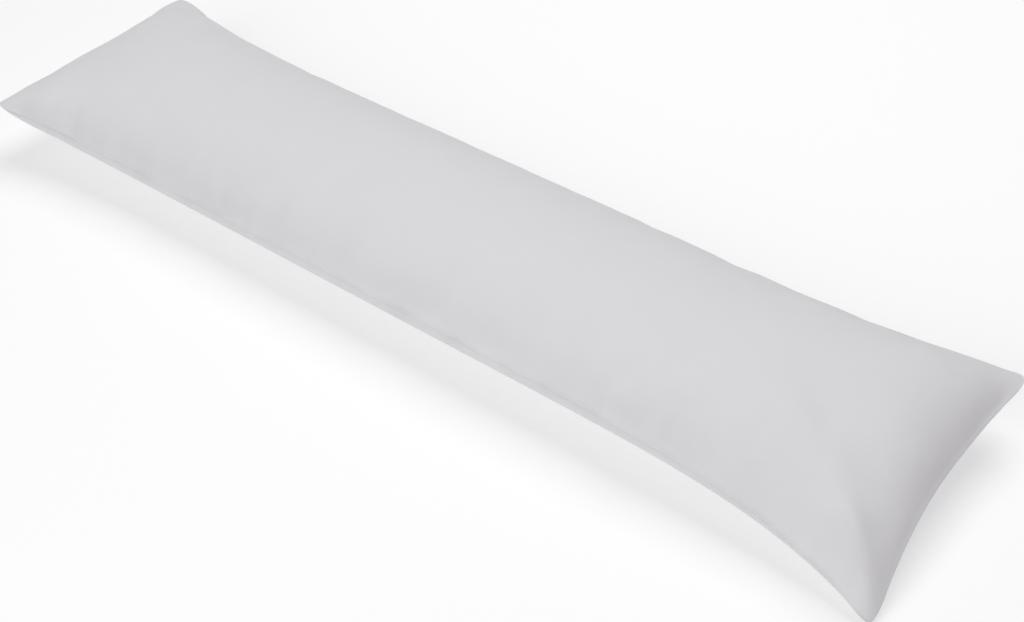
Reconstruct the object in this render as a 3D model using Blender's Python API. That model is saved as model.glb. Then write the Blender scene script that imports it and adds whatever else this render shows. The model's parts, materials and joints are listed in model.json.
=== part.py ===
"""Body pillow: one filled cushion of two long panels sewn edge to edge, lying on its back.

X runs along the pillow, Y across it and Z up. The origin is the middle of its footprint on the floor.
Every point starts on a subdivided cube and is moved by the functions below: u runs along the pillow
and v across it, both from -1 to 1, and side is 1 on the upper panel and -1 on the lower one.
"""
import math
from collections import namedtuple

import bmesh
import bpy
from mathutils import Vector

# Driving dimensions, in metres
LENGTH = 1.798  # between the corners, along the pillow
WIDTH = 0.473  # between the corners, across an end
CROWN = 0.1015  # how far the upper panel rises above the seam
DEPTH = 0.087  # how far the seam lies above the floor
SETTLE = 0.006  # how much of the lower panel the pillow's own weight presses flat
SEAM_BAND = 0.003  # thickness of the turned-in edge that is sewn

# How the filling shapes the panels
WAIST = 0.180  # share of the width that is drawn in along the middle
UPPER_POWER = 2.08  # a higher power makes a flatter top with rounder shoulders
UPPER_ROUND = 0.606
LOWER_POWER = 2.15
BOW_POWER = 0.735
TAPER_POWER = 2.5
CORNER_REACH = 5.15  # a higher power keeps a corner's lift nearer to that corner

# Each end: how far its seam bows inwards, how late the waist opens out to full width, what share
# of the thickness is lost on the way there, and how late, and how straight, the end face slopes down
ENDS = {
    -1: {"bow": 0.008, "flare": 6.4, "taper": 0.055, "fill": 9.8, "slope": 0.54},
    1: {"bow": 0.026, "flare": 6.0, "taper": 0.199, "fill": 26.0, "slope": 1.3},
}

# Each corner, by its side along X and along Y: how roundly it is cut, and how far it is lifted
# above the seam's own height, or droops below it
CORNERS = {
    (-1, -1): {"radius": 0.043, "lift": 0.031},
    (-1, 1): {"radius": 0.100, "lift": 0.047},
    (1, -1): {"radius": 0.048, "lift": -0.086},
    (1, 1): {"radius": 0.049, "lift": 0.022},
}

# Folds in the upper panel, each a soft rise or hollow. Its middle is measured inwards from its own
# corner, along X and Y, and it runs at a turn from X, in degrees. Its reach is towards the corner and
# away from it, and its spread is towards the end seam and towards the side seam
Fold = namedtuple("Fold", "corner middle turn reach spread rise")
FOLDS = {
    "crest": Fold((1, -1), (0.060, 0.038), 33, (0.100, 0.083), (0.030, 0.050), 0.035),
    "tail of the crest": Fold((1, -1), (0.210, 0.135), 14, (0.090, 0.090), (0.029, 0.029), 0.010),
    "ear hollow": Fold((1, 1), (0.030, 0.070), 90, (0.045, 0.090), (0.022, 0.022), -0.005),
    "ear shoulder": Fold((1, 1), (0.125, 0.115), 55, (0.050, 0.060), (0.032, 0.032), 0.005),
}
SEAM_HOLD = 0.016  # how far from a seam the folds have reached most of their height

COLUMNS = 92  # faces along the pillow
ROWS = 24  # faces across it
CROWDING = 0.7  # how much closer the points lie towards the seams

COVER_COLOUR = (0.68, 0.68, 0.70, 1.0)
COVER_ROUGHNESS = 0.9


def clear_scene():
    for old in list(bpy.data.objects):
        bpy.data.objects.remove(old, do_unlink=True)


def crowded(t):
    """An even step from -1 to 1, moved so that the points lie closer together near both ends."""
    return t + CROWDING * math.sin(math.pi * t) / math.pi


def end_of(u):
    return ENDS[1 if u > 0 else -1]


def corner_of(along, across):
    return CORNERS[1 if along > 0 else -1, 1 if across > 0 else -1]


def rounded_corner(x, y):
    """The same point with each corner of the outline turned into an arc."""
    radius = corner_of(x, y)["radius"]
    straight_x = LENGTH / 2 - radius
    straight_y = WIDTH / 2 - radius
    past_x = (abs(x) - straight_x) / radius
    past_y = (abs(y) - straight_y) / radius
    if past_x <= 0 or past_y <= 0:
        return x, y
    arc_x = straight_x + radius * past_x * math.sqrt(1 - past_y**2 / 2)
    arc_y = straight_y + radius * past_y * math.sqrt(1 - past_x**2 / 2)
    return math.copysign(arc_x, x), math.copysign(arc_y, y)


def plan_point(u, v):
    """Where the point lies seen from above: the long sides draw in and the end seams bow inwards."""
    end = end_of(u)
    bow = end["bow"] * (1 - v * v) ** BOW_POWER
    x = u * LENGTH / 2 - bow * u**5
    drawn_in = WAIST * (1 - abs(u) ** end["flare"])
    y = v * WIDTH / 2 * (1 - drawn_in)
    return rounded_corner(x, y)


def seam_height(u, v):
    """Height of the seam's own sheet, which is level but for its lifted and drooping corners."""
    return DEPTH + corner_of(u, v)["lift"] * abs(u) ** CORNER_REACH * v * v


def fullness(u):
    """1 along the pillow's body, falling to 0 at the end seams."""
    end = end_of(u)
    end_face = max(0.0, 1 - abs(u) ** end["fill"]) ** end["slope"]
    return end_face * (1 - end["taper"] * abs(u) ** TAPER_POWER)


def panel_rise(u, v, side):
    """How far a panel stands away from the seam's sheet."""
    if side > 0:
        return CROWN * fullness(u) * max(0.0, 1 - abs(v) ** UPPER_POWER) ** UPPER_ROUND
    across = max(0.0, 1 - abs(v) ** LOWER_POWER) ** (1 / LOWER_POWER)
    return -(DEPTH + SETTLE) * fullness(u) * across


def fold_rise(x, y, u, v):
    """The folds' share of the upper panel's height, held back beside the seams."""
    rise = 0.0
    for fold in FOLDS.values():
        off_x = LENGTH / 2 - fold.corner[0] * x - fold.middle[0]
        off_y = WIDTH / 2 - fold.corner[1] * y - fold.middle[1]
        turn = math.radians(fold.turn)
        along = off_x * math.cos(turn) + off_y * math.sin(turn)
        aside = off_y * math.cos(turn) - off_x * math.sin(turn)
        reach = fold.reach[1 if along > 0 else 0]
        spread = fold.spread[0 if aside > 0 else 1]
        rise += fold.rise * math.exp(-((along / reach) ** 2) - (aside / spread) ** 2)
    for share, size in ((u, LENGTH), (v, WIDTH)):
        rise *= 1 - math.exp(-(1 - abs(share)) * size / 2 / SEAM_HOLD)
    return rise


def pillow_point(u, v, side):
    x, y = plan_point(u, v)
    z = seam_height(u, v) + side * SEAM_BAND / 2 + panel_rise(u, v, side)
    if side > 0:
        z += fold_rise(x, y, u, v)
    return Vector((x, y, max(z, 0.0)))


def divide(mesh, axis, cuts):
    """Cuts every edge that runs along the axis into equal lengths."""
    edges = []
    for edge in mesh.edges:
        run = edge.verts[1].co - edge.verts[0].co
        if abs(run[axis]) > 1e-6:
            edges.append(edge)
    bmesh.ops.subdivide_edges(mesh, edges=edges, cuts=cuts, use_grid_fill=True)


def pillow_mesh():
    mesh = bmesh.new()
    bmesh.ops.create_cube(mesh, size=2)
    divide(mesh, 0, COLUMNS - 1)
    divide(mesh, 1, ROWS - 1)
    for vertex in mesh.verts:
        u, v, side = vertex.co
        vertex.co = pillow_point(crowded(u), crowded(v), 1 if side > 0 else -1)
    centre_outline(mesh)
    bmesh.ops.recalc_face_normals(mesh, faces=mesh.faces)
    data = bpy.data.meshes.new("pillow")
    mesh.to_mesh(data)
    mesh.free()
    return data


def centre_outline(mesh):
    """Puts the middle of the outline's box over the origin, because the two ends bow unequally."""
    for axis in (0, 1):
        places = [vertex.co[axis] for vertex in mesh.verts]
        middle = (min(places) + max(places)) / 2
        for vertex in mesh.verts:
            vertex.co[axis] -= middle


def cover_material():
    material = bpy.data.materials.new("cotton_cover")
    material.use_nodes = True
    shader = material.node_tree.nodes["Principled BSDF"]
    shader.inputs["Base Color"].default_value = COVER_COLOUR
    shader.inputs["Roughness"].default_value = COVER_ROUGHNESS
    shader.inputs["Metallic"].default_value = 0.0
    return material


def build_pillow():
    collection = bpy.data.collections.new("body_pillow")
    bpy.context.scene.collection.children.link(collection)
    data = pillow_mesh()
    data.materials.append(cover_material())
    data.shade_smooth()
    data.set_sharp_from_angle(angle=math.radians(60))
    collection.objects.link(bpy.data.objects.new("pillow", data))


clear_scene()
build_pillow()
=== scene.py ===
import json
import math
from collections import namedtuple

import bpy
import numpy as np
from mathutils import Matrix, Vector, noise

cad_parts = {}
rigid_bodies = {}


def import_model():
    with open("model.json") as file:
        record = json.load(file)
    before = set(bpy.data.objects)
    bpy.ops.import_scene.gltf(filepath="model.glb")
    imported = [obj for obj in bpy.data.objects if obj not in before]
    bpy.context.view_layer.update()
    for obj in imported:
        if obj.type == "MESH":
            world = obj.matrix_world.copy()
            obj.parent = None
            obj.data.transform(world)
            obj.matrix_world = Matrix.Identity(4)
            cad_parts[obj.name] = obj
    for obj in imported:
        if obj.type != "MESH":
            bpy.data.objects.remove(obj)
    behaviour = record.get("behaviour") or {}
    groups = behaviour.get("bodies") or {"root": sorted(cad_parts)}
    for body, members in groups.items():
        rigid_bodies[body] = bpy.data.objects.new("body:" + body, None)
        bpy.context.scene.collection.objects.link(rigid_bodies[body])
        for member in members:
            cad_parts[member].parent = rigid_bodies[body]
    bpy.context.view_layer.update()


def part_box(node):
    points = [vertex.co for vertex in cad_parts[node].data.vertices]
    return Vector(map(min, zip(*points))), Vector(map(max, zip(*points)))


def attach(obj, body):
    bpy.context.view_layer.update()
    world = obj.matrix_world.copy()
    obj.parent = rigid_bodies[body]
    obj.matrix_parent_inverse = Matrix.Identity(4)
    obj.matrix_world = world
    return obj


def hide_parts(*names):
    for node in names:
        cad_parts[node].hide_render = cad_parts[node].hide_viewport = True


for leftover in list(bpy.data.objects):
    bpy.data.objects.remove(leftover, do_unlink=True)
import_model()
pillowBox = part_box("pillow")
print("frame loaded")

onRim = 1e-6  # metres: a point nearer to the seam than this lies on it
tiny = 1e-9  # the least length that anything is divided by

# The filled shape, all lengths in metres. u runs along the pillow and v across it, both from -1 to 1
pillow = {
    "length": 1.798,  # between the corners, along the pillow
    "width": 0.473,  # between the corners, across an end
    "crown": 0.1015,  # how far the upper panel rises above the seam
    "depth": 0.087,  # how far the seam lies above the floor
    "settle": 0.006,  # how much of the lower panel is pressed flat by the weight
    "waist": 0.180,  # share of the width that is drawn in along the middle
    "upperPower": 2.08,  # a higher power makes a flatter top with rounder shoulders
    "upperRound": 0.606,
    "lowerPower": 2.15,
    "bowPower": 0.735,
    "taperPower": 2.5,
    "cornerReach": 5.15,  # a higher power keeps a corner's lift nearer to that corner
    # Each end: how far its seam bows inwards, how late the waist opens out to full width, what share of
    # the thickness is lost on the way there, and how late, and how straight, the end face slopes down
    "farEnd": {"bow": 0.008, "flare": 6.4, "taper": 0.055, "fill": 9.8, "slope": 0.54},
    "nearEnd": {"bow": 0.026, "flare": 6.0, "taper": 0.199, "fill": 26.0, "slope": 1.3},
    # How roundly each corner is cut, and how far it is lifted above the seam's height, or droops
    "farLeft": {"radius": 0.043, "lift": 0.031},
    "farRight": {"radius": 0.100, "lift": 0.047},
    "nearLeft": {"radius": 0.048, "lift": -0.086},
    "nearRight": {"radius": 0.049, "lift": 0.022},
}


def byEnd(u, key):
    return np.where(u > 0, pillow["nearEnd"][key], pillow["farEnd"][key])


def byCorner(u, v, key):
    near = np.where(v > 0, pillow["nearRight"][key], pillow["nearLeft"][key])
    far = np.where(v > 0, pillow["farRight"][key], pillow["farLeft"][key])
    return np.where(u > 0, near, far)


def roundCorner(x, y, halfLength, halfWidth):
    radius = byCorner(x, y, "radius")
    pastX = np.clip((np.abs(x) - halfLength) / radius + 1, 0, 1)
    pastY = np.clip((np.abs(y) - halfWidth) / radius + 1, 0, 1)
    arcX = halfLength - radius + radius * pastX * np.sqrt(1 - pastY**2 / 2)
    arcY = halfWidth - radius + radius * pastY * np.sqrt(1 - pastX**2 / 2)
    inArc = (pastX > 0) & (pastY > 0)
    return np.where(inArc, np.sign(x) * arcX, x), np.where(inArc, np.sign(y) * arcY, y)


def filledSurface(u, v, side):
    u, v = np.broadcast_arrays(u, v)
    across = np.abs(v)
    x = u * pillow["length"] / 2 - byEnd(u, "bow") * (1 - v * v) ** pillow["bowPower"] * u**5
    y = v * pillow["width"] / 2 * (1 - pillow["waist"] * (1 - np.abs(u) ** byEnd(u, "flare")))
    x, y = roundCorner(x, y, pillow["length"] / 2, pillow["width"] / 2)
    full = np.maximum(0, 1 - np.abs(u) ** byEnd(u, "fill")) ** byEnd(u, "slope")
    full = full * (1 - byEnd(u, "taper") * np.abs(u) ** pillow["taperPower"])
    seamHeight = pillow["depth"] + byCorner(u, v, "lift") * np.abs(u) ** pillow["cornerReach"] * v * v
    if side > 0:
        rise = pillow["crown"] * np.maximum(0, 1 - across ** pillow["upperPower"]) ** pillow["upperRound"]
    else:
        rise = np.maximum(0, 1 - across ** pillow["lowerPower"]) ** (1 / pillow["lowerPower"])
        rise = -(pillow["depth"] + pillow["settle"]) * rise
    return np.stack([x, y, np.maximum(seamHeight + full * rise, 0)], -1)


panelGrid = {
    "along": 200,  # faces along a panel before the subdivision
    "across": 52,
    "seamRows": [0.0016, 0.0034, 0.0060],  # extra rows, from the seam inwards
    "measuredLines": (-0.75, -0.4, 0.0, 0.4, 0.75),  # u or v of the lines along which the cloth is measured
    "measuredPoints": 1201,  # on each of those lines
}


def arcTable(axis):
    # Cloth length against u or v, averaged over lines on both panels
    steps = np.sin(np.linspace(-math.pi / 2, math.pi / 2, panelGrid["measuredPoints"]))
    arcs = []
    for other in panelGrid["measuredLines"]:
        for side in (1, -1):
            u, v = (steps, np.full_like(steps, other))[:: 1 if axis == 0 else -1]
            run = np.linalg.norm(np.diff(filledSurface(u, v, side), axis=0), axis=1)
            arcs.append(np.concatenate([[0.0], np.cumsum(run)]))
    mean = np.mean(arcs, axis=0)
    return steps, mean - mean[-1] / 2


alongSteps, alongArcs = arcTable(0)
acrossSteps, acrossArcs = arcTable(1)
clothLength = 2 * alongArcs[-1]
clothWidth = 2 * acrossArcs[-1]
print("cloth panels", round(clothLength, 3), "by", round(clothWidth, 3), "m")


def gridLines(total, count, rows):
    even = np.linspace(-total / 2, total / 2, count + 1)
    extra = [s * (total / 2 - row) for row in rows for s in (-1, 1)]
    return np.sort(np.concatenate([even, extra]))


def seamGap(lineX, lineY):
    # How far in from the seam each point of a panel lies, along the cloth
    return np.minimum(clothLength / 2 - np.abs(lineX)[:, None], clothWidth / 2 - np.abs(lineY)[None, :])


def panelFaces(columns, rows):
    # Two grids that share their rim. Returns vertex numbers by side, and faces that point outwards
    upper = np.arange(columns * rows).reshape(columns, rows)
    lower = upper.copy()
    inner = (columns - 2) * (rows - 2)
    lower[1:-1, 1:-1] = columns * rows + np.arange(inner).reshape(columns - 2, rows - 2)
    quads = [upper[:-1, :-1], upper[1:, :-1], upper[1:, 1:], upper[:-1, 1:]]
    upperFaces = np.stack(quads, -1).reshape(-1, 4)
    quads = [lower[:-1, :-1], lower[:-1, 1:], lower[1:, 1:], lower[1:, :-1]]
    lowerFaces = np.stack(quads, -1).reshape(-1, 4)
    return np.stack([upper, lower]), np.concatenate([upperFaces, lowerFaces])


def byVertex(points, numbers):
    # Grid values by side to one list by vertex number. The rim takes the upper panel's values
    flat = np.zeros((numbers.max() + 1, points.shape[-1]))
    flat[numbers[1].ravel()] = points[1].reshape(-1, points.shape[-1])
    flat[numbers[0].ravel()] = points[0].reshape(-1, points.shape[-1])
    return flat


def meshFrom(name, points, faces):
    data = bpy.data.meshes.new(name)
    data.from_pydata(points.tolist(), [], faces.tolist())
    data.update()
    return data


def averaged(values, edges, rounds):
    # Each value is pulled halfway to the mean of its neighbours, round after round
    size = len(values)
    first, second = edges.T
    count = np.bincount(edges.ravel(), minlength=size)
    for _ in range(rounds):
        for axis in range(values.shape[1]):
            column = values[:, axis]
            total = np.bincount(first, column[second], size) + np.bincount(second, column[first], size)
            values[:, axis] = 0.5 * column + 0.5 * total / count
    return values


def outwardNormals(points):
    along = np.gradient(points, axis=1)
    across = np.gradient(points, axis=2)
    normal = np.cross(along, across)
    normal[1] *= -1
    return normal / np.maximum(np.linalg.norm(normal, axis=-1, keepdims=True), tiny)


# Folds in the upper panel. Each one's middle is measured inwards from its own corner, along X and Y, and
# it runs at a turn from X, in degrees. Its reach is towards the corner and away from it, and its spread
# is towards the end seam and towards the side seam
Fold = namedtuple("Fold", "corner middle turn reach spread rise")
folds = {
    "seamHold": 0.016,  # how far from a seam they have reached most of their height
    "rows": [
        # The crest that runs into the drooping corner, and its tail
        Fold((1, -1), (0.060, 0.038), 33, (0.100, 0.083), (0.030, 0.050), 0.035),
        Fold((1, -1), (0.210, 0.135), 14, (0.090, 0.090), (0.029, 0.029), 0.010),
        # The hollow and the shoulder beside the other near corner
        Fold((1, 1), (0.030, 0.070), 90, (0.045, 0.090), (0.022, 0.022), -0.005),
        Fold((1, 1), (0.125, 0.115), 55, (0.050, 0.060), (0.032, 0.032), 0.005),
    ],
}


def foldRise(x, y, u, v):
    rise = 0.0
    for fold in folds["rows"]:
        offX = pillow["length"] / 2 - fold.corner[0] * x - fold.middle[0]
        offY = pillow["width"] / 2 - fold.corner[1] * y - fold.middle[1]
        turn = math.radians(fold.turn)
        along = offX * math.cos(turn) + offY * math.sin(turn)
        aside = offY * math.cos(turn) - offX * math.sin(turn)
        reach = np.where(along > 0, fold.reach[1], fold.reach[0])
        spread = np.where(aside > 0, fold.spread[0], fold.spread[1])
        rise = rise + fold.rise * np.exp(-((along / reach) ** 2) - (aside / spread) ** 2)
    for share, size in ((u, pillow["length"]), (v, pillow["width"])):
        rise = rise * (1 - np.exp(-(1 - np.abs(share)) * size / 2 / folds["seamHold"]))
    return rise


# Where the long seams gather the upper panel: the place along the seam, how far in from it the hollow
# is deepest, its half width along the seam, and its depth. A negative depth is a rise between hollows
Gather = namedtuple("Gather", "place deepest halfWidth depth")
gathers = {
    "left": [
        Gather(-0.815, 0.045, 0.022, -0.0040),
        Gather(-0.770, 0.014, 0.010, 0.0028),
        Gather(-0.730, 0.032, 0.022, 0.0040),
        Gather(-0.610, 0.016, 0.010, 0.0024),
        Gather(-0.545, 0.050, 0.024, 0.0028),
        Gather(-0.490, 0.014, 0.010, 0.0020),
        Gather(-0.425, 0.030, 0.022, 0.0040),
        Gather(-0.360, 0.014, 0.009, 0.0028),
        Gather(-0.295, 0.013, 0.009, 0.0020),
        Gather(-0.195, 0.014, 0.009, 0.0018),
        Gather(-0.150, 0.013, 0.008, 0.0028),
        Gather(-0.110, 0.045, 0.020, -0.0036),
        Gather(-0.075, 0.013, 0.008, 0.0024),
        Gather(0.045, 0.014, 0.010, 0.0018),
        Gather(0.140, 0.050, 0.022, -0.0040),
        Gather(0.155, 0.013, 0.009, 0.0024),
        Gather(0.245, 0.014, 0.009, 0.0032),
        Gather(0.285, 0.030, 0.020, 0.0028),
        Gather(0.320, 0.012, 0.007, 0.0028),
        Gather(0.365, 0.014, 0.009, 0.0032),
        Gather(0.415, 0.012, 0.007, 0.0024),
        Gather(0.455, 0.030, 0.022, -0.0040),
        Gather(0.535, 0.016, 0.010, 0.0024),
        Gather(0.620, 0.014, 0.010, 0.0020),
        Gather(0.725, 0.034, 0.022, 0.0036),
    ],
    "right": [
        Gather(-0.660, 0.024, 0.016, 0.0010),
        Gather(-0.480, 0.030, 0.020, 0.0014),
        Gather(-0.250, 0.030, 0.018, 0.0012),
        Gather(-0.090, 0.022, 0.012, 0.0010),
        Gather(0.060, 0.030, 0.020, 0.0014),
        Gather(0.270, 0.026, 0.014, 0.0012),
        Gather(0.430, 0.040, 0.024, 0.0024),
        Gather(0.530, 0.028, 0.014, 0.0014),
        Gather(0.650, 0.030, 0.016, 0.0016),
    ],
}


def gatherRise(x, fromLeft, fromRight):
    rise = 0.0
    for side, away in (("left", fromLeft), ("right", fromRight)):
        for row in gathers[side]:
            inward = away / row.deepest * np.exp(1 - away / row.deepest)
            rise = rise - row.depth * inward * np.exp(-(((x - row.place) / row.halfWidth) ** 2))
    return rise


def shapedPanels(lineX, lineY):
    # The filled shape on a grid of cloth lengths, with its folds and gathers in the upper panel
    u = np.interp(lineX, alongArcs, alongSteps)[:, None]
    v = np.interp(lineY, acrossArcs, acrossSteps)[None, :]
    points = np.stack([filledSurface(u, v, 1), filledSurface(u, v, -1)])
    x, y, z = np.moveaxis(points[0], -1, 0)
    points[0, ..., 2] = z + foldRise(x, y, u, v)
    gathered = gatherRise(x, clothWidth / 2 + lineY[None, :], clothWidth / 2 - lineY[None, :])
    points[0] += outwardNormals(points)[0] * gathered[..., None]
    points[0, ..., 2] = np.maximum(points[0, ..., 2], 0)
    return points


inflation = {
    "pressure": 4.0,
    "frames": 20,
    "tension": 25.0,
    "shear": 6.0,
    "bending": 0.6,
    "mass": 0.2,
    "quality": 7,
    "hold": 0.4,  # how firmly each point is drawn back to the filled shape
    "holdStiffness": 0.015,
    "flatLift": 0.004,  # how far each flat panel lies from the seam's sheet
    "flatLiftGrows": 0.020,  # how far in from the seam it has grown to that
    "driftRounds": 90,  # the wider this average, the longer the waves that are kept
    "cap": 0.008,  # how far a ripple may move the cloth
    "capAtSeam": 0.0015,
    "capGrows": 0.030,  # how far in from the seam it has grown to the full cap
    "tautEnd": 0.25,  # share of the cap that is left at the near end, whose face is drawn tight
    "tautReach": 0.055,
}


def flatPanels(lineX, lineY):
    # The panels as they were cut, one just above the other
    flatX, flatY = np.meshgrid(lineX, lineY, indexing="ij")
    flatX, flatY = roundCorner(flatX, flatY, clothLength / 2, clothWidth / 2)
    lift = inflation["flatLift"] * np.minimum(seamGap(lineX, lineY) / inflation["flatLiftGrows"], 1)
    return np.stack([np.stack([flatX, flatY, s * lift], -1) for s in (1, -1)])


def rippleCap(lineX, lineY):
    grown = np.minimum(seamGap(lineX, lineY) / inflation["capGrows"], 1)
    cap = inflation["capAtSeam"] + (inflation["cap"] - inflation["capAtSeam"]) * grown
    taut = np.exp(-(((clothLength / 2 - lineX) / inflation["tautReach"]) ** 2))
    cap = cap * (1 - (1 - inflation["tautEnd"]) * taut[:, None])
    return np.stack([cap, cap])[..., None]


def simulate(shape, flat, faces):
    # Cloth of the flat panels' size under the filling's pressure. Returns its points and its edges
    data = meshFrom("inflating", shape, faces)
    cushion = bpy.data.objects.new("inflating", data)
    bpy.context.scene.collection.objects.link(cushion)
    cushion.shape_key_add(name="filled")
    flatKey = cushion.shape_key_add(name="flatPanels")
    flatKey.data.foreach_set("co", flat.astype(np.float32).ravel())
    group = cushion.vertex_groups.new(name="hold")
    group.add(list(range(len(shape))), inflation["hold"], "REPLACE")
    cloth = cushion.modifiers.new("cloth", "CLOTH")
    cloth.settings.vertex_group_mass = "hold"
    cloth.settings.pin_stiffness = inflation["holdStiffness"]
    cloth.settings.rest_shape_key = flatKey
    cloth.settings.quality = inflation["quality"]
    cloth.settings.mass = inflation["mass"]
    cloth.settings.tension_stiffness = inflation["tension"]
    cloth.settings.compression_stiffness = inflation["tension"]
    cloth.settings.shear_stiffness = inflation["shear"]
    cloth.settings.bending_stiffness = inflation["bending"]
    cloth.settings.use_pressure = True
    cloth.settings.uniform_pressure_force = inflation["pressure"]
    cloth.settings.effector_weights.gravity = 0
    cloth.collision_settings.use_collision = False
    cloth.point_cache.frame_start = 1
    cloth.point_cache.frame_end = inflation["frames"]
    scene = bpy.context.scene
    for number in range(1, inflation["frames"] + 1):
        scene.frame_set(number)
    evaluated = cushion.evaluated_get(bpy.context.evaluated_depsgraph_get())
    moved = np.zeros(len(shape) * 3, np.float32)
    evaluated.data.vertices.foreach_get("co", moved)
    edges = np.zeros(len(data.edges) * 2, np.int64)
    data.edges.foreach_get("vertices", edges)
    bpy.data.objects.remove(cushion, do_unlink=True)
    scene.frame_set(1)
    return moved.reshape(-1, 3).astype(float), edges.reshape(-1, 2)


def inflatePanels(lineX, lineY):
    # The sewn panels try to keep their flat size, so they pucker. Only the short ripples are kept, and
    # each is held under its cap, so the outline stays as it was shaped
    numbers, faces = panelFaces(len(lineX), len(lineY))
    shape = byVertex(shapedPanels(lineX, lineY), numbers)
    flat = byVertex(flatPanels(lineX, lineY), numbers)
    moved, edges = simulate(shape, flat, faces)
    shift = moved - shape
    print("cloth moved by up to", round(float(np.abs(shift).max()) * 1000, 1), "mm")
    ripple = shift - averaged(shift.copy(), edges, inflation["driftRounds"])
    size = np.linalg.norm(ripple, axis=1, keepdims=True)
    print("ripples up to", round(float(size.max()) * 1000, 1), "mm")
    cap = byVertex(rippleCap(lineX, lineY), numbers)
    ripple = ripple * np.tanh(size / cap) * cap / np.maximum(size, tiny)
    return ripple[numbers]


def onLines(field, fromX, fromY, toX, toY):
    # A grid field read off on another set of lines
    out = np.zeros((2, len(toX), len(fromY), 3))
    for side, row, axis in np.ndindex(2, len(fromY), 3):
        out[side, :, row, axis] = np.interp(toX, fromX, field[side, :, row, axis])
    last = np.zeros((2, len(toX), len(toY), 3))
    for side, column, axis in np.ndindex(2, len(toX), 3):
        last[side, column, :, axis] = np.interp(toY, fromY, out[side, column, :, axis])
    return last


lineX = gridLines(clothLength, panelGrid["along"], panelGrid["seamRows"])
lineY = gridLines(clothWidth, panelGrid["across"], panelGrid["seamRows"])
edgeGap = seamGap(lineX, lineY)
points = shapedPanels(lineX, lineY)
boxMiddle = (Vector(pillowBox[0]) + Vector(pillowBox[1])) / 2
outlineShift = [boxMiddle[k] - (points[..., k].min() + points[..., k].max()) / 2 for k in (0, 1)]
evenX = gridLines(clothLength, panelGrid["along"], [])
evenY = gridLines(clothWidth, panelGrid["across"], [])
points += onLines(inflatePanels(evenX, evenY), evenX, evenY, lineX, lineY)
print("panels inflated")

# Small hollows and rises where the filling lies unevenly under the upper panel, deepest by the left seam
unevenness = {
    "spacing": 0.030,  # from one hollow to the next
    "broadSpacing": 0.060,  # the same for the broader ones under them
    "broadShare": 1.5,  # how deep those are, against the small ones
    "depth": 0.0030,  # beside the left seam
    "depthInside": 0.0006,
    "fades": 0.075,  # how far in from the left seam the deeper ones reach
    "seamHold": 0.006,
    "slice": 3.7,  # which slice of the noise is used
}


def unevenRise(places, gap, fromLeft):
    rise = np.zeros(gap.shape)
    for index in np.ndindex(gap.shape):
        x, y = places[index][:2] / unevenness["spacing"]
        broadX, broadY = places[index][:2] / unevenness["broadSpacing"]
        rise[index] = noise.noise((x, y, unevenness["slice"]))
        rise[index] += noise.noise((broadX, broadY, unevenness["slice"])) * unevenness["broadShare"]
    near = np.exp(-((fromLeft / unevenness["fades"]) ** 2))
    depth = unevenness["depthInside"] + (unevenness["depth"] - unevenness["depthInside"]) * near
    return rise * depth * (1 - np.exp(-gap / unevenness["seamHold"]))


uneven = unevenRise(points[0], edgeGap, clothWidth / 2 + lineY[None, :])
points[0] += outwardNormals(points)[0] * uneven[..., None]

# The turned-in seam: a soft lip on each side of the sewn line
seam = {
    "lipHeight": 0.0012,
    "lipAt": 0.0030,  # how far in from the seam it is highest
    "lipWidth": 0.0020,
    "lipAtEnds": 0.4,  # share of it that is left along the end seams
    "grooveDepth": 0.0006,
}


def lipRise():
    lip = seam["lipHeight"] * np.exp(-(((edgeGap - seam["lipAt"]) / seam["lipWidth"]) ** 2))
    besideEnd = edgeGap < clothWidth / 2 - np.abs(lineY)[None, :]
    lip = np.where(besideEnd, lip * seam["lipAtEnds"], lip)
    return np.where(edgeGap > onRim, lip, 0)


def intoCloth(places, faces, isRim):
    # At each point of the rim, the way into the cloth
    inward = np.zeros_like(places)
    for corner in range(4):
        first, second = faces[:, corner], faces[:, (corner + 1) % 4]
        for here, there in ((first, second), (second, first)):
            use = isRim[here] & ~isRim[there]
            np.add.at(inward, here[use], places[there[use]] - places[here[use]])
    return inward / np.maximum(np.linalg.norm(inward, axis=1, keepdims=True), tiny)


def buildCover():
    coverPoints = points + outwardNormals(points) * lipRise()[None, ..., None]
    numbers, faces = panelFaces(len(lineX), len(lineY))
    places = byVertex(coverPoints, numbers)
    gap = byVertex(np.stack([edgeGap, edgeGap])[..., None], numbers)[:, 0]
    places += intoCloth(places, faces, gap < onRim) * seam["grooveDepth"]
    places[:, :2] += outlineShift  # the shape's own box comes over the frame's
    places[:, 2] = np.maximum(places[:, 2], pillowBox[0].z)
    data = meshFrom("pillowCover", places, faces)
    data.shade_smooth()
    # What the cloth's material reads: the way from the seam, and 1 on the lower panel and the rim, where it
    # paints shade
    lower = np.stack([np.where(edgeGap < onRim, 1.0, 0.0), np.ones(edgeGap.shape)])
    lower = byVertex(lower[..., None], numbers)[:, 0]
    for name, values in (("seamGap", gap), ("lowerPanel", lower)):
        attribute = data.attributes.new(name, "FLOAT", "POINT")
        attribute.data.foreach_set("value", values.astype(np.float32))
    addMaps(data, numbers)
    piece = bpy.data.objects.new("pillowCover", data)
    bpy.context.scene.collection.objects.link(piece)
    finish = piece.modifiers.new("finish", "SUBSURF")
    finish.levels = 1
    finish.render_levels = 1
    return piece


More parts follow.
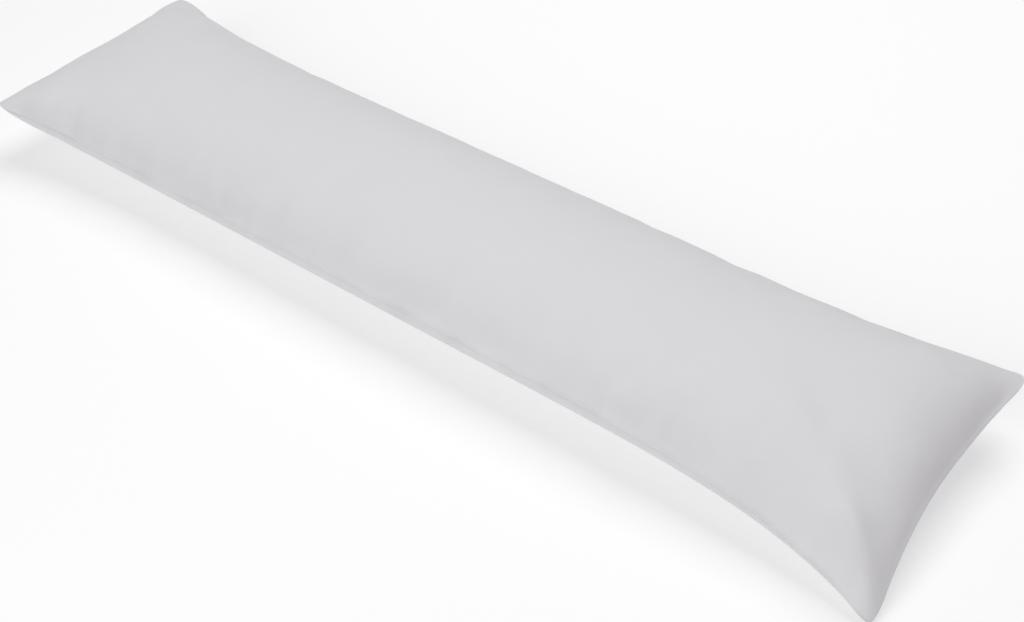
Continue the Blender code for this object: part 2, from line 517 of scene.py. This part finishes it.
def addMaps(data, numbers):
    # One map in metres along the threads, and one without overlaps, with each panel in half of the square
    threadMap = data.uv_layers.new(name="clothThreads")
    bakeMap = data.uv_layers.new(name="OFBake")
    grid = np.stack(np.meshgrid(lineX, lineY, indexing="ij"), -1)
    loops = np.zeros(len(data.loops), np.int64)
    data.loops.foreach_get("vertex_index", loops)
    threads = byVertex(np.stack([grid, grid]), numbers)[loops]
    threadMap.uv.foreach_set("vector", threads.astype(np.float32).ravel())
    margin = 0.01
    layout = threads / [clothLength, clothWidth] + 0.5
    layout = layout * [1 - 2 * margin, 0.5 - 2 * margin] + margin
    layout[len(loops) // 2:, 1] += 0.5
    bakeMap.uv.foreach_set("vector", layout.astype(np.float32).ravel())
    data.uv_layers.active = threadMap


cover = buildCover()
print("cover built")


class Maths:
    # A socket that takes part in Python expressions; each operator adds its Math node
    def __init__(self, tree, socket):
        self.tree = tree
        self.socket = socket

    def make(self, operation, *values):
        return self.tree.node("ShaderNodeMath", {"operation": operation}, dict(enumerate(values)))

    def __add__(self, other):
        return self.make("ADD", self, other)

    def __radd__(self, other):
        return self.make("ADD", other, self)

    def __sub__(self, other):
        return self.make("SUBTRACT", self, other)

    def __rsub__(self, other):
        return self.make("SUBTRACT", other, self)

    def __mul__(self, other):
        return self.make("MULTIPLY", self, other)

    def __rmul__(self, other):
        return self.make("MULTIPLY", other, self)

    def sine(self):
        return self.make("SINE", self)

    def absolute(self):
        return self.make("ABSOLUTE", self)

    def exponent(self):
        return self.make("EXPONENT", self)


class Shader:
    # One material's nodes
    def __init__(self, name):
        self.material = bpy.data.materials.new(name)
        self.material.use_nodes = True
        self.nodes = self.material.node_tree.nodes
        self.links = self.material.node_tree.links
        self.nodes.clear()
        self.surface = self.nodes.new("ShaderNodeBsdfPrincipled")
        end = self.nodes.new("ShaderNodeOutputMaterial")
        self.links.new(self.surface.outputs["BSDF"], end.inputs["Surface"])

    def node(self, kind, settings=None, values=None, output=0):
        made = self.nodes.new(kind)
        for key, value in (settings or {}).items():
            setattr(made, key, value)
        for key, value in (values or {}).items():
            self.feed(made.inputs[key], value)
        return Maths(self, made.outputs[output])

    def feed(self, target, value):
        if isinstance(value, Maths):
            self.links.new(value.socket, target)
        else:
            target.default_value = value

    def set(self, name, value):
        self.feed(self.surface.inputs[name], value)

    def mixColours(self, factor, first, second):
        # A Mix node's colours come in at sockets 6 and 7 and leave at 2
        return self.node("ShaderNodeMix", {"data_type": "RGBA"}, {0: factor, 6: first, 7: second}, 2)

    def setBump(self, height, strength):
        values = {"Height": height, "Distance": 1.0, "Strength": strength}
        self.set("Normal", self.node("ShaderNodeBump", None, values))


coverFinish = {
    "cloth": (0.750, 0.745, 0.763, 1.0),
    "clothPale": (0.772, 0.767, 0.785, 1.0),
    "clothGreyed": (0.640, 0.632, 0.656, 1.0),
    "driftScale": 3.0,  # of the slow drift between the cloth and its paler tone
    "threadsPerMetre": 2000.0,
    "weaveDepth": 0.00014,
    # Uneven yarns, as noise that is drawn out along them: cells a metre along a yarn and across it
    "slubAlong": 60.0,
    "slubAcross": 900.0,
    "slubDepth": 0.00014,
    "crinkleScale": 14.0,
    "crinkleDepth": 0.0016,
    # Shares of the darker tone, clothGreyed: the yarns' own tone, and painted shade
    "slubGrey": 0.16,  # in the thin stretches of the yarns
    "weaveShade": 0.22,  # painted shade in the hollows between the threads
    "seamShade": 0.15,  # painted shade along the seam's groove
    "seamShadeFade": 260.0,  # a metre, in exp(-fade * way from the seam)
    "mottle": 0.10,  # uneven tone that follows the crinkles, all over; beside the seams it is painted shade of the small puckers
    "mottleShadeBesideSeam": 0.75,
    "mottleFade": 14.0,
    "lowerPanelShade": 0.5,  # painted shade on the lower panel, against the light the floor throws up onto it
    "roughness": 0.86,
    "slubRoughness": 0.08,
    "bumpStrength": 0.6,
    "sheen": 0.25,
    "sheenRoughness": 0.5,
    "specular": 0.25,
}


def coverMaterial():
    look = coverFinish
    shader = Shader("cottonCover")
    uv = shader.node("ShaderNodeUVMap", {"uv_map": "clothThreads"})
    turns = look["threadsPerMetre"] * math.pi
    warp = (shader.node("ShaderNodeSeparateXYZ", None, {"Vector": uv}, "X") * turns).sine()
    weft = (shader.node("ShaderNodeSeparateXYZ", None, {"Vector": uv}, "Y") * turns).sine()
    overUnder = warp * weft * 0.5 + 0.5
    weave = warp.absolute() * overUnder + weft.absolute() * (1.0 - overUnder)
    along, across = look["slubAlong"], look["slubAcross"]
    yarns = []
    for stretch in ((along, across, 1.0), (across, along, 1.0)):
        drawn = shader.node("ShaderNodeMapping", None, {"Vector": uv, "Scale": stretch})
        yarn = {"Vector": drawn, "Scale": 1.0, "Detail": 2.0}
        yarns.append(shader.node("ShaderNodeTexNoise", {"noise_dimensions": "2D"}, yarn))
    slub = yarns[0] * 0.5 + yarns[1] * 0.5
    place = shader.node("ShaderNodeTexCoord", output="Object")
    soft = {"Vector": place, "Scale": look["crinkleScale"], "Detail": 3.0, "Roughness": 0.45}
    crinkle = shader.node("ShaderNodeTexNoise", None, soft)
    slow = {"Vector": place, "Scale": look["driftScale"], "Detail": 1.0}
    drift = shader.node("ShaderNodeTexNoise", None, slow)
    gap = shader.node("ShaderNodeAttribute", {"attribute_name": "seamGap"}, output="Fac")
    lower = shader.node("ShaderNodeAttribute", {"attribute_name": "lowerPanel"}, output="Fac")
    # Masks for the painted shade along the seam's groove and for the painted pucker shade beside the seams
    onSeam = (gap * -look["seamShadeFade"]).exponent()
    besideSeam = (gap * -look["mottleFade"]).exponent()
    # The yarns' own uneven tone, with painted shade between the threads and along the seam's groove
    greyAndShade = (1.0 - slub) * look["slubGrey"] + (1.0 - weave) * look["weaveShade"] + onSeam * look["seamShade"]
    # A tone that follows the crinkles, strongest beside the seams, where it paints the shade of small
    # puckers
    greyAndShade = greyAndShade + (crinkle - 0.5) * (besideSeam * look["mottleShadeBesideSeam"] + look["mottle"])
    # Painted shade: the whole lower panel and the rim are darkened
    greyAndShade = greyAndShade + lower * look["lowerPanelShade"]
    tone = shader.mixColours(drift, look["cloth"], look["clothPale"])
    shader.set("Base Color", shader.mixColours(greyAndShade, tone, look["clothGreyed"]))
    shader.set("Roughness", look["roughness"] + (slub - 0.5) * look["slubRoughness"])
    height = weave * look["weaveDepth"] + slub * look["slubDepth"]
    height = height + crinkle * look["crinkleDepth"]
    shader.setBump(height, look["bumpStrength"])
    shader.set("Sheen Weight", look["sheen"])
    shader.set("Sheen Roughness", look["sheenRoughness"])
    shader.set("Specular IOR Level", look["specular"])
    return shader.material


cover.data.materials.append(coverMaterial())
print("cover material built")

# The seam's own stitches: short bars of thread that hold the two panels together along the rim
stitching = {
    "pitch": 0.0032,
    "halfLength": 0.0009,  # across the seam
    "thickness": 0.00034,
    "segments": 6,  # round each bar
    "rings": 4,
    "raise": 0.00008,  # above the bottom of the groove
    "lean": 9.0,  # degrees, the most that one leans out of line
    "seed": 7,
    "roughness": 0.6,
    "grainRoughness": 0.15,
    "grainScale": 2500.0,
    "grainDepth": 0.0001,
}


def rimLoop():
    # The rim of the subdivided cover in order, just above the groove, and the way across the seam there
    evaluated = cover.evaluated_get(bpy.context.evaluated_depsgraph_get())
    data = bpy.data.meshes.new_from_object(evaluated)
    gap = np.zeros(len(data.vertices), np.float32)
    data.attributes["seamGap"].data.foreach_get("value", gap)
    places = np.zeros(len(data.vertices) * 3, np.float32)
    data.vertices.foreach_get("co", places)
    places = places.reshape(-1, 3).astype(float)
    neighbours = {}
    for edge in data.edges:
        first, second = edge.vertices
        if gap[first] < onRim and gap[second] < onRim:
            neighbours.setdefault(first, []).append(second)
            neighbours.setdefault(second, []).append(first)
    start = min(neighbours)
    order = [start, neighbours[start][0]]
    while True:
        here, before = order[-1], order[-2]
        following = [n for n in neighbours[here] if n != before][0]
        if following == start:
            break
        order.append(following)
    bpy.data.meshes.remove(data)
    ring = places[order]
    tangent = np.roll(ring, -1, axis=0) - np.roll(ring, 1, axis=0)
    tangent /= np.linalg.norm(tangent, axis=1, keepdims=True)
    outward = np.stack([tangent[:, 1], -tangent[:, 0], np.zeros(len(ring))], -1)
    outward /= np.linalg.norm(outward, axis=1, keepdims=True)
    if (outward * (ring - ring.mean(0))).sum() < 0:
        outward = -outward
    across = np.cross(tangent, outward)
    return ring + outward * stitching["raise"], across


class Nodes:
    # One geometry tree, with its sizes as named inputs
    def __init__(self, name, inputs):
        self.tree = bpy.data.node_groups.new(name, "GeometryNodeTree")
        self.sockets = {}
        self.tree.interface.new_socket("Geometry", in_out="INPUT", socket_type="NodeSocketGeometry")
        self.tree.interface.new_socket("Geometry", in_out="OUTPUT", socket_type="NodeSocketGeometry")
        for label, (kind, value) in inputs.items():
            made = self.tree.interface.new_socket(label, in_out="INPUT", socket_type=kind)
            self.sockets[made.identifier] = value
        self.start = self.tree.nodes.new("NodeGroupInput").outputs
        self.end = self.tree.nodes.new("NodeGroupOutput").inputs

    def node(self, kind, settings=None, values=None):
        made = self.tree.nodes.new(kind)
        for key, value in (settings or {}).items():
            setattr(made, key, value)
        for key, value in (values or {}).items():
            if isinstance(value, bpy.types.NodeSocket):
                self.tree.links.new(value, made.inputs[key])
            else:
                made.inputs[key].default_value = value
        return made.outputs[0]

    def applyTo(self, piece):
        # The tree's result as a plain mesh on the same object, with its one material
        modifier = piece.modifiers.new("build", "NODES")
        modifier.node_group = self.tree
        for identifier, value in self.sockets.items():
            modifier[identifier] = value
        evaluated = piece.evaluated_get(bpy.context.evaluated_depsgraph_get())
        result = bpy.data.meshes.new_from_object(evaluated)
        piece.modifiers.remove(modifier)
        material = result.materials[result.polygons[0].material_index]
        result.materials.clear()
        result.materials.append(material)
        result.polygons.foreach_set("material_index", [0] * len(result.polygons))
        piece.data = result


def stitchTree(thread):
    nodes = Nodes("seamStitching", {
        "Pitch": ("NodeSocketFloat", stitching["pitch"]),
        "Half Length": ("NodeSocketFloat", stitching["halfLength"]),
        "Thickness": ("NodeSocketFloat", stitching["thickness"]),
        "Lean": ("NodeSocketFloat", math.radians(stitching["lean"])),
        "Seed": ("NodeSocketInt", stitching["seed"]),
        "Thread": ("NodeSocketMaterial", thread),
    })
    path = nodes.node("GeometryNodeMeshToCurve", None, {"Mesh": nodes.start["Geometry"]})
    sizes = {"Curve": path, "Length": nodes.start["Pitch"]}
    path = nodes.node("GeometryNodeResampleCurve", {"mode": "LENGTH"}, sizes)
    ball = {"Segments": stitching["segments"], "Rings": stitching["rings"], "Radius": 1.0}
    bar = nodes.node("GeometryNodeMeshUVSphere", None, ball)
    thickness = nodes.start["Thickness"]
    stretch = {"X": thickness, "Y": thickness, "Z": nodes.start["Half Length"]}
    stretch = nodes.node("ShaderNodeCombineXYZ", None, stretch)
    bar = nodes.node("GeometryNodeTransform", None, {"Geometry": bar, "Scale": stretch})
    bar = nodes.node("GeometryNodeSetShadeSmooth", None, {"Geometry": bar})
    vector = {"data_type": "FLOAT_VECTOR"}
    across = nodes.node("GeometryNodeInputNamedAttribute", vector, {"Name": "acrossSeam"})
    upright = nodes.node("FunctionNodeAlignRotationToVector", {"axis": "Z"}, {"Vector": across})
    lean = nodes.start["Lean"]
    back = nodes.node("ShaderNodeMath", {"operation": "MULTIPLY"}, {0: lean, 1: -1.0})
    most = nodes.node("ShaderNodeCombineXYZ", None, {"X": lean, "Y": lean})
    least = nodes.node("ShaderNodeCombineXYZ", None, {"X": back, "Y": back})
    spread = {"Min": least, "Max": most, "Seed": nodes.start["Seed"]}
    leaning = nodes.node("FunctionNodeRandomValue", vector, spread)
    turned = {"Rotation": upright, "Rotate By": leaning}
    turned = nodes.node("FunctionNodeRotateRotation", {"rotation_space": "LOCAL"}, turned)
    placed = {"Points": path, "Instance": bar, "Rotation": turned}
    placed = nodes.node("GeometryNodeInstanceOnPoints", None, placed)
    placed = nodes.node("GeometryNodeRealizeInstances", None, {"Geometry": placed})
    final = {"Geometry": placed, "Material": nodes.start["Thread"]}
    final = nodes.node("GeometryNodeSetMaterial", None, final)
    nodes.tree.links.new(final, nodes.end["Geometry"])
    return nodes


def threadMaterial():
    shader = Shader("coverThread")
    place = shader.node("ShaderNodeTexCoord", output="Object")
    fine = {"Vector": place, "Scale": stitching["grainScale"], "Detail": 1.0}
    grain = shader.node("ShaderNodeTexNoise", None, fine)
    shader.set("Base Color", shader.mixColours(grain, coverFinish["clothGreyed"], coverFinish["cloth"]))
    shader.set("Roughness", grain * stitching["grainRoughness"] + stitching["roughness"])
    shader.setBump(grain * stitching["grainDepth"], coverFinish["bumpStrength"])
    shader.set("Sheen Weight", coverFinish["sheen"])
    return shader.material


def buildStitches():
    places, across = rimLoop()
    count = len(places)
    data = bpy.data.meshes.new("seamPath")
    data.from_pydata(places.tolist(), [(k, (k + 1) % count) for k in range(count)], [])
    way = data.attributes.new("acrossSeam", "FLOAT_VECTOR", "POINT")
    way.data.foreach_set("vector", across.astype(np.float32).ravel())
    piece = bpy.data.objects.new("seamStitches", data)
    bpy.context.scene.collection.objects.link(piece)
    stitchTree(threadMaterial()).applyTo(piece)
    piece.data.name = "seamStitches"
    facesEach = stitching["segments"] * stitching["rings"]
    print("seam stitched,", len(piece.data.polygons) // facesEach, "stitches")
    return piece


stitches = buildStitches()

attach(cover, "root")
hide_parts("pillow")
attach(stitches, "root")

view = {
    "lens": 52.56,
    "sensor": 36.0,
    "turn": 38.06,  # degrees round from the -Y side
    "height": 41.92,  # degrees above the horizon
    "roll": -0.85,  # degrees
    "place": (1.2552, -1.4532, 1.6424),
}


def wayBack(turn, height):
    # Away from what is looked at, turn degrees round from the -Y side and height degrees above level
    turn, height = math.radians(turn), math.radians(height)
    return Vector((math.sin(turn) * math.cos(height), -math.cos(turn) * math.cos(height), math.sin(height)))


def placeCamera():
    back = wayBack(view["turn"], view["height"])
    turn, roll = math.radians(view["turn"]), math.radians(view["roll"])
    right = Vector((math.cos(turn), math.sin(turn), 0))
    up = back.cross(right)
    rolledRight = math.cos(roll) * right + math.sin(roll) * up
    rolledUp = -math.sin(roll) * right + math.cos(roll) * up
    data = bpy.data.cameras.new("camera")
    data.lens = view["lens"]
    data.sensor_width = view["sensor"]
    camera = bpy.data.objects.new("camera", data)
    bpy.context.scene.collection.objects.link(camera)
    matrix = Matrix((rolledRight, rolledUp, back)).transposed().to_4x4()
    matrix.translation = Vector(view["place"])
    camera.matrix_world = matrix
    bpy.context.scene.camera = camera


placeCamera()
print("camera placed")

studio = {
    "floorSize": 120.0,
    "floorShade": (0.57, 0.57, 0.57, 1.0),
    "floorRoughness": 0.9,
    "floorGlow": 0.44,  # a white sweep, with only a faint shadow on it
    "ambient": 0.255,
    "ambientTint": (1.06, 0.96, 1.05, 1.0),
    "lampSize": 3.0,
    "lampDistance": 4.5,
    "lampTint": (0.974, 1.008, 0.984),
    # Soft lamps: turn and height in degrees, as the camera's are, and the place each looks at
    "lamps": {
        "backLamp": {"turn": 180.0, "height": 65.0, "aimX": 0.0, "power": 110.0},
        "frontLamp": {"turn": 0.0, "height": 35.0, "aimX": 0.4, "power": 87.0},
        "leftLamp": {"turn": 240.0, "height": 40.0, "aimX": -0.3, "power": 9.5},
    },
}


def addLamp(name, lamp):
    data = bpy.data.lights.new(name, "AREA")
    data.shape = "SQUARE"
    data.size = studio["lampSize"]
    data.energy = lamp["power"]
    data.color = studio["lampTint"]
    piece = bpy.data.objects.new(name, data)
    bpy.context.scene.collection.objects.link(piece)
    away = wayBack(lamp["turn"], lamp["height"]) * studio["lampDistance"]
    piece.location = Vector((lamp["aimX"], 0, 0)) + away
    toward = piece.location - Vector((lamp["aimX"], 0, boxMiddle.z))
    piece.rotation_mode = "QUATERNION"
    piece.rotation_quaternion = toward.to_track_quat("Z", "Y")


def buildFloor():
    half = studio["floorSize"] / 2
    corners = np.array([(-half, -half, 0), (half, -half, 0), (half, half, 0), (-half, half, 0)])
    data = meshFrom("floor", corners, np.array([(0, 1, 2, 3)]))
    floor = bpy.data.objects.new("floor", data)
    bpy.context.scene.collection.objects.link(floor)
    shader = Shader("paleFloor")
    shader.set("Base Color", studio["floorShade"])
    shader.set("Roughness", studio["floorRoughness"])
    shader.set("Emission Color", (1.0, 1.0, 1.0, 1.0))
    shader.set("Emission Strength", studio["floorGlow"])
    data.materials.append(shader.material)


def buildWorld():
    world = bpy.data.worlds.new("studio")
    bpy.context.scene.world = world
    world.use_nodes = True
    background = world.node_tree.nodes["Background"]
    background.inputs["Color"].default_value = studio["ambientTint"]
    background.inputs["Strength"].default_value = studio["ambient"]


buildFloor()
buildWorld()
for name, lamp in studio["lamps"].items():
    addLamp(name, lamp)
bpy.context.scene.view_settings.view_transform = "Standard"
print("studio built")
